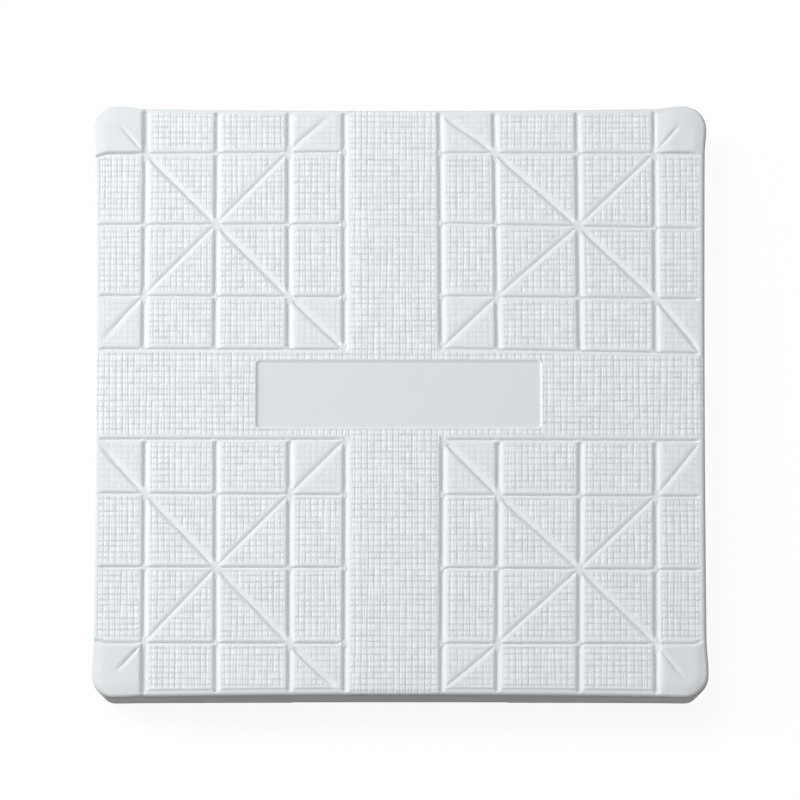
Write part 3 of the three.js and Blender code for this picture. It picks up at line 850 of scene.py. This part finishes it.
class CoverRings:
    """The rings that go on from the top's border, their share of its print and their way out on the UV sheet.

    A ring is the border's core scaled to the ring's straight part, plus the border's normal times the ring's
    corner radius and what it is moved by.
    """

    def __init__(self, top):
        self.top = top
        self.points, self.prints, self.outward = [], [], []

    def add(self, half, corner, z, moved=0.0, printed=0.0, away=0.0):
        top = self.top
        loop = len(top.border)
        push = np.broadcast_to(corner + moved, loop)[:, None]
        flat = top.middle * ((half - corner) / top.core) + top.normal * push
        flat[:, 1] += top.slide
        self.points.append(np.column_stack([flat, np.broadcast_to(z, loop)]))
        self.prints.append(printed * top.printed.ravel()[top.border])
        self.outward.append(away + (self.outward[-1] if self.outward else 0.0))

    def add_shoulder(self, cover):
        """An arc of a circle from the slope of the top's edge to upright; returns the height of its end."""
        top = self.top
        edge_slope = 2 * cover.edge_fall / FALL_WIDTH
        start = np.arctan((1 - top.on_pad) * edge_slope + top.on_pad * cover.pad_slope)
        arc = (cover.shoulder + top.soft) / (1 - np.sin(start))
        for step in np.linspace(0, 1, SHOULDER_STEPS + 1)[1:]:
            turn = start + (math.pi / 2 - start) * step
            out = arc * (np.sin(turn) - np.sin(start)) - top.soft - top.draw
            z = top.level + top.relief - arc * (np.cos(start) - np.cos(turn))
            self.add(top.plateau, top.radius, z, out, 1 - step, 1.0)
        return z

    def add_wall(self, cover, wall_top):
        """Down the leaning wall, less drawn in and more hollowed towards its foot, and round the foot."""
        top = self.top
        for step in np.linspace(0, 1, WALL_STEPS + 1)[1:]:
            z = wall_top + (cover.foot - wall_top) * step
            lean = cover.tuck * step
            moved = -(1 - (1 - DRAW_AT_FOOT) * step) * top.draw - step**2 * top.hollow
            self.add(cover.side / 2 - lean, cover.corner - lean, z, moved, away=cover.height / WALL_STEPS)
        for turn in (math.pi / 4, math.pi / 2):
            lean = cover.tuck + cover.foot * (1 - math.cos(turn))
            z = cover.foot * (1 - math.sin(turn))
            moved = -DRAW_AT_FOOT * top.draw - top.hollow
            self.add(cover.side / 2 - lean, cover.corner - lean, z, moved, away=0.8 * cover.foot)

    def add_inside(self):
        """Under the skirt, round the inturned lip and up the inside to the ceiling."""
        for half, z in INNER_RINGS:
            self.add(half, INNER_CORNER, z, away=0.6)


def cover_mesh(cover):
    """The closed surface of the rubber cover: the top's grid, the rings from its border over the shoulder,
    down the wall and up the inside, and a fan that closes the ceiling at its middle point."""
    top = CoverTop(cover)
    rings = CoverRings(top)
    wall_top = rings.add_shoulder(cover)
    rings.add_wall(cover, wall_top)
    outer_count = len(rings.points)
    rings.add_inside()

    count, loop = len(top.points), len(top.border)
    centre = count + len(rings.points) * loop
    numbers = np.vstack([top.border, np.arange(count, centre).reshape(-1, loop)])
    points = np.concatenate([top.points, *rings.points, [[0, 0, INNER_RINGS[-1][1]]]])
    top_faces = grid_triangles(top.shape, top.rising[:-1, :-1])
    outer_faces = ring_triangles(numbers[: outer_count + 1])
    inner_faces = ring_triangles(numbers[outer_count:])
    last = numbers[-1]
    fan = np.column_stack([np.full(loop, centre), np.roll(last, -1), last])
    faces = np.concatenate([top_faces, outer_faces, inner_faces, fan])
    sharp = np.arange(len(faces)) >= len(top_faces) + len(outer_faces)

    plain = top.rounded.reshape(-1, 2)[top.border]
    spread = [plain + top.normal * away for away in rings.outward]
    sheet = np.concatenate([top.plan.reshape(-1, 2), *spread, [[0, 0]]]) / SHEET_SPAN + 0.5
    uv = sheet[faces]
    uv[-loop:] = points[faces[-loop:], :2] / CEILING_SPAN + CEILING_PLACE
    printed = np.concatenate([top.printed.ravel(), *rings.prints, [0]])
    added = len(points) - count
    cloth = np.concatenate([top.cloth.ravel(), np.zeros(added)])
    folds = np.concatenate([top.on_line.ravel(), np.zeros(added, bool)])
    return points, faces, sharp, uv, {"weave": printed, "cloth": cloth}, folds


def white_rubber(cover):
    """Moulded rubber: a canvas print of crossing lines where the mask says so, and a fine skin elsewhere.

    The print is a grid of small squares parted by valleys, and they grow towards the right and the front.
    Noise lets the lines wander, and chance gives every square its own height and tone, every stretch of a
    valley its own depth, and some squares a half-way valley. The valleys are painted darker as shade, and in
    some squares a painted highlight lies on the lit wall just right of an upright valley.
    """
    shader = new_shader("white_rubber")
    vector, x, y, _ = shader.place()
    mask = shader.node("ShaderNodeAttribute", {"attribute_name": "weave"}, output="Fac")
    cloth = shader.node("ShaderNodeAttribute", {"attribute_name": "cloth"}, output="Fac")

    def wander(stretch, reach):
        """Noise about 0 that changes fast from line to line and slowly along a line."""
        where = shader.node("ShaderNodeVectorMath", {"operation": "MULTIPLY"}, {0: vector, 1: stretch})
        return reach * (shader.noise(where, WANDER_SIZE, 1.0) - 0.5)

    def chance(number_u, number_v, seed):
        """A number from 0 to 1 for each square, line or stretch of a line."""
        where = shader.node("ShaderNodeCombineXYZ", sockets={"X": number_u, "Y": number_v, "Z": seed})
        return shader.node("ShaderNodeTexWhiteNoise", {"noise_dimensions": "3D"}, {"Vector": where}, "Value")

    def valley(way, narrow):
        """1 at whole numbers and 0 half way between them: a raised sine to a power."""
        return (0.5 + 0.5 * (math.tau * (way + 0.25)).sine()) ** narrow

    u = (x * (1 - GROW_RIGHT * x) + wander((1.0, 0.1, 0.0), WANDER_ASIDE)) / cover.weave_pitch
    v = (y * (1 + GROW_FRONT * y) + wander((0.1, -1.0, 0.0), WANDER_ALONG)) / cover.weave_rise
    line_u, line_v = (u + 0.5).whole(), (v + 0.5).whole()
    square_u, square_v = u.whole(), v.whole()
    long_u, long_v = (0.4 * u).whole(), (0.35 * v).whole()
    deep_u = valley(u, 3.2) * (0.3 + 0.4 * chance(line_u, long_v, 1.5) + 0.3 * chance(line_u, square_v, 1.7))
    deep_v = valley(v, 2.2) * (0.3 + 0.4 * chance(long_u, line_v, 2.5) + 0.3 * chance(square_u, line_v, 2.7))
    half_u = valley(u + 0.5, 4.0) * (0.5 * chance(square_u, long_v, 3.5))
    half_v = valley(v + 0.5, 3.5) * (0.28 * chance(long_u, square_v, 4.5))
    low = 1 - (1 - deep_u) * (1 - deep_v) * (1 - half_u) * (1 - half_v)
    lump = chance(square_u, square_v, 5.5)
    # Painted highlight on the lit wall just right of some upright valleys, facing the light from the left
    painted_highlight = valley(u + 0.72, 5.0) * chance(square_u, long_v, 6.5)
    grain = shader.noise(vector, 1.0, 1.0) - 0.5
    skin = shader.noise(vector, 0.5, 2.0)
    height = 1 - mask * (low + 0.25 * lump + 0.3 * grain) + 0.04 * skin
    patches = shader.noise(vector, 60.0, 3.0)
    # Random tone of squares and grain, plus painted shade that darkens the valleys and the painted highlight
    print_tone_and_painted_light = 0.02 + 0.08 * lump + 0.1 * painted_highlight - 0.03 * deep_u - 0.19 * deep_v + 0.16 * grain
    factor = 1.015 + 0.06 * cloth + mask * print_tone_and_painted_light + 0.02 * (patches - 0.5)
    return shader.surface(
        Base_Color=shader.tone(opaque(cover.rubber), factor),
        Roughness=cover.roughness + 0.12 * (patches - 0.5) + 0.06 * mask,
        Specular_IOR_Level=0.25,
        Normal=shader.bump(height, cover.weave_depth * MM),
    )


class BASE_OT_cover(bpy.types.Operator):
    """Makes the white rubber cover with its grooves, pads, label plate and canvas print"""

    bl_idname = "base_pad.cover"
    bl_label = "Rubber cover"

    def execute(self, context):
        cover = context.scene.base_cover
        piece = make_object("cover_skin", *cover_mesh(cover))
        dress(piece, white_rubber(cover))
        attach(piece, BODY)
        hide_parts("rubber_cover")
        return {"FINISHED"}


def slab_mesh(low, high, corner, edge):
    """A closed slab with rounded edges: rings of a rounded square, from the bottom's middle point up the
    quarter circle of the lower edge, up the side, over the upper edge and in to the top's middle point."""
    half = (np.array(high[:2]) - np.array(low[:2])) / 2
    middle = (np.array(high[:2]) + np.array(low[:2])) / 2
    angle = np.linspace(0, 2 * np.pi, FOAM_POINTS, endpoint=False)
    turn = np.stack([np.cos(angle), np.sin(angle)], 1)
    turns = np.linspace(0, np.pi / 2, 6)
    inset = np.concatenate([edge * (1 - np.sin(turns)), edge * (1 - np.cos(turns))])
    rise = np.concatenate([low[2] + edge * (1 - np.cos(turns)), high[2] - edge * (1 - np.sin(turns))])
    core = np.sign(np.round(turn, 9) + 1e-12) * (half - corner)
    rings = middle + core + turn * (corner - inset)[:, None, None]
    rings = np.concatenate([rings, np.broadcast_to(rise[:, None, None], (len(rise), len(angle), 1))], 2)
    loop = len(angle)
    numbers = np.arange(len(rise) * loop).reshape(-1, loop)
    points = np.concatenate([rings.reshape(-1, 3), [[*middle, low[2]], [*middle, high[2]]]])
    base, tip = len(points) - 2, len(points) - 1
    lowest, highest = numbers[0], numbers[-1]
    faces = np.concatenate([
        ring_triangles(numbers[::-1]),
        np.column_stack([np.full(loop, base), np.roll(lowest, -1), lowest]),
        np.column_stack([np.full(loop, tip), highest, np.roll(highest, -1)]),
    ])
    return points, faces


def grey_foam(inside):
    """Closed-cell foam: small round cells dent the surface, and the dents are painted darker as shade."""
    shader = new_shader("grey_foam")
    vector = shader.place()[0]
    cells = shader.node(
        "ShaderNodeTexVoronoi", {"feature": "F1"}, {"Vector": vector, "Scale": 1 / 1.6}, "Distance"
    )
    patches = shader.noise(vector, 25.0)
    # Painted shade: the colour is darkest in the middle of each cell's dent, where the bump is lowest
    factor = 0.86 + 0.22 * cells + 0.08 * (patches - 0.5)
    return shader.surface(
        Base_Color=shader.tone(opaque(inside.foam), factor),
        Roughness=0.9 - 0.05 * patches,
        Normal=shader.bump(cells, 0.25 * MM),
    )


class BASE_OT_foam(bpy.types.Operator):
    """Makes the impact foam under the rubber top"""

    bl_idname = "base_pad.foam"
    bl_label = "Impact foam"

    def execute(self, context):
        low, high = (np.array(corner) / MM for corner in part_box("foam_pad"))
        points, faces = slab_mesh(low, high, FOAM_CORNER, FOAM_EDGE)
        piece = make_object("foam_slab", points, faces)
        dress(piece, grey_foam(context.scene.base_inside))
        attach(piece, BODY)
        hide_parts("foam_pad")
        return {"FINISHED"}


def black_plastic(inside):
    """Moulded plastic: a fine etched grain, faint flow marks and a slightly uneven gloss."""
    shader = new_shader("black_plastic")
    vector = shader.place()[0]
    grain = shader.noise(vector, 0.7, 3.0, 0.6)
    flow = shader.noise(vector, 40.0, 2.0)
    factor = 0.9 + 0.16 * flow + 0.06 * (grain - 0.5)
    return shader.surface(
        Base_Color=shader.tone(opaque(inside.plastic), factor),
        Roughness=0.42 + 0.16 * flow + 0.08 * grain,
        Normal=shader.bump(grain, 0.08 * MM),
    )


def galvanised_steel(inside):
    """Hot-dip galvanising: crystal patches of different grey and gloss, with a faint uneven coat."""
    shader = new_shader("galvanised_steel")
    vector = shader.place()[0]
    crystal = shader.node(
        "ShaderNodeTexVoronoi", {"feature": "F1"}, {"Vector": vector, "Scale": 1 / 9.0}, "Color"
    )
    patch = shader.node("ShaderNodeSeparateColor", sockets={"Color": crystal}, output="Red")
    coat = shader.noise(vector, 1.5, 3.0)
    return shader.surface(
        Base_Color=shader.tone(opaque(inside.steel), 0.82 + 0.25 * patch + 0.06 * (coat - 0.5)),
        Metallic=0.9,
        Roughness=0.34 + 0.18 * patch + 0.1 * coat,
        Normal=shader.bump(coat, 0.05 * MM),
    )


def zinc_plating(inside):
    """Bright zinc plating: fine turning marks round the shank and slight dull patches."""
    shader = new_shader("zinc_plated_steel")
    vector, _, _, z = shader.place()
    dull = shader.noise(vector, 3.0, 2.0)
    marks = (z * 9.0 + dull * 2.0).sine()
    return shader.surface(
        Base_Color=shader.tone(opaque(inside.zinc), 0.88 + 0.2 * dull),
        Metallic=1.0,
        Roughness=0.28 + 0.2 * dull,
        Normal=shader.bump(0.5 + 0.5 * marks, 0.01 * MM),
    )


class BASE_OT_inside(bpy.types.Operator):
    """Gives the core, the bottom plate, the anchor plate and the fasteners their finishes"""

    bl_idname = "base_pad.inside"
    bl_label = "Core, plates and fasteners"

    def execute(self, context):
        inside = context.scene.base_inside
        plastic = black_plastic(inside)
        zinc = zinc_plating(inside)
        for name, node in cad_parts.items():
            if name in ("waffle_core", "bottom_plate"):
                dress(node, plastic)
            elif name == "anchor_plate":
                dress(node, galvanised_steel(inside))
            elif name.startswith(("anchor_", "plate_screw")):
                dress(node, zinc)
        return {"FINISHED"}


def seen_ray(shader):
    """1 for camera, glossy and transmission rays, which see the white room, and 0 for light that bounces."""
    path = shader.node("ShaderNodeLightPath", output="Is Camera Ray")
    return path.most(path.of("Is Glossy Ray")).most(path.of("Is Transmission Ray"))


def white_room(ambient):
    """A world that looks white and lights the base evenly and weakly."""
    world = bpy.data.worlds.new("white_room")
    shader = Shader(world)
    strength = seen_ray(shader).most(ambient)
    room = shader.node("ShaderNodeBackground", sockets={"Color": (1, 1, 1, 1), "Strength": strength})
    shader.node("ShaderNodeOutputWorld", sockets={"Surface": room})
    bpy.context.scene.world = world


def pale_floor():
    """A floor that looks white, takes a faint shadow and sends little light back up."""
    corners = FLOOR_HALF * np.array([[-1, -1], [1, -1], [1, 1], [-1, 1]])
    points = np.column_stack([corners, np.full(4, -FLOOR_DROP)])
    floor = make_object("floor", points, np.array([[0, 1, 2], [0, 2, 3]]))
    shader = new_shader("pale_floor")
    glow = shader.node("ShaderNodeEmission", sockets={"Color": (1, 1, 1, 1), "Strength": FLOOR_GLOW})
    grey = shader.node("ShaderNodeBsdfDiffuse", sockets={"Color": opaque((FLOOR_GREY,) * 3)})
    shown = shader.node("ShaderNodeAddShader", sockets={0: glow, 1: grey})
    mixed = shader.node("ShaderNodeMixShader", sockets={"Fac": seen_ray(shader), 1: grey, 2: shown})
    shader.node("ShaderNodeOutputMaterial", sockets={"Surface": mixed})
    dress(floor, shader.owner)
    floor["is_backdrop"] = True


def soft_light(name, place, width, power):
    """A square area light at a place, turned to the origin, that the camera doesn't see."""
    lamp = bpy.data.lights.new(name, "AREA")
    lamp.shape = "SQUARE"
    lamp.size = width
    lamp.energy = power
    light = bpy.data.objects.new(name, lamp)
    bpy.context.scene.collection.objects.link(light)
    light.location = place
    way = -np.array(place)
    flat = math.hypot(way[0], way[1])
    light.rotation_euler = (math.atan2(flat, -way[2]), 0, math.atan2(-way[0], way[1]))
    light.visible_camera = False


class BASE_OT_stage(bpy.types.Operator):
    """Sets up the floor, the white room, the soft lights and the camera"""

    bl_idname = "base_pad.stage"
    bl_label = "Stage"

    def execute(self, context):
        stage = context.scene.base_stage
        context.scene.view_settings.view_transform = "Standard"
        white_room(stage.ambient)
        pale_floor()
        soft_light("side_light", *SIDE_LIGHT, stage.key)
        soft_light("top_light", *TOP_LIGHT, stage.top)
        lens = bpy.data.cameras.new("camera")
        lens.lens = stage.lens
        lens.sensor_width = 36.0
        lens.clip_end = 100.0
        camera = bpy.data.objects.new("camera", lens)
        context.scene.collection.objects.link(camera)
        back = stage.distance * math.cos(stage.elevation)
        camera.location = (0, -back, stage.target + stage.distance * math.sin(stage.elevation))
        camera.rotation_euler = (math.pi / 2 - stage.elevation, 0, 0)
        context.scene.camera = camera
        return {"FINISHED"}


class BASE_PT_panel(bpy.types.Panel):
    """Lists the base's settings and the steps that make it"""

    bl_label = "Baseball base"
    bl_space_type = "VIEW_3D"
    bl_region_type = "UI"
    bl_category = "Base"

    def draw(self, context):
        scene = context.scene
        for operator, settings in (
            (BASE_OT_cover, scene.base_cover),
            (BASE_OT_foam, scene.base_inside),
            (BASE_OT_inside, None),
            (BASE_OT_stage, scene.base_stage),
        ):
            box = self.layout.box()
            box.operator(operator.bl_idname)
            for name in settings.__annotations__ if settings else ():
                box.prop(settings, name)


SETTINGS = {"base_cover": BASE_PG_cover, "base_inside": BASE_PG_inside, "base_stage": BASE_PG_stage}
STEPS = (BASE_OT_cover, BASE_OT_foam, BASE_OT_inside, BASE_OT_stage)
CLASSES = (*SETTINGS.values(), *STEPS, BASE_PT_panel)


def register():
    for cls in CLASSES:
        bpy.utils.register_class(cls)
    for name, group in SETTINGS.items():
        setattr(bpy.types.Scene, name, bpy.props.PointerProperty(type=group))


def unregister():
    for name in SETTINGS:
        delattr(bpy.types.Scene, name)
    for cls in reversed(CLASSES):
        bpy.utils.unregister_class(cls)


def main():
    register()
    bpy.ops.base_pad.cover()
    bpy.ops.base_pad.foam()
    bpy.ops.base_pad.inside()
    bpy.ops.base_pad.stage()
    boxes = {"cad": CAD_BOX, "visual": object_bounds()}
    plain = {key: [list(corner) for corner in corners] for key, corners in boxes.items()}


if __name__ == "__main__":
    main()
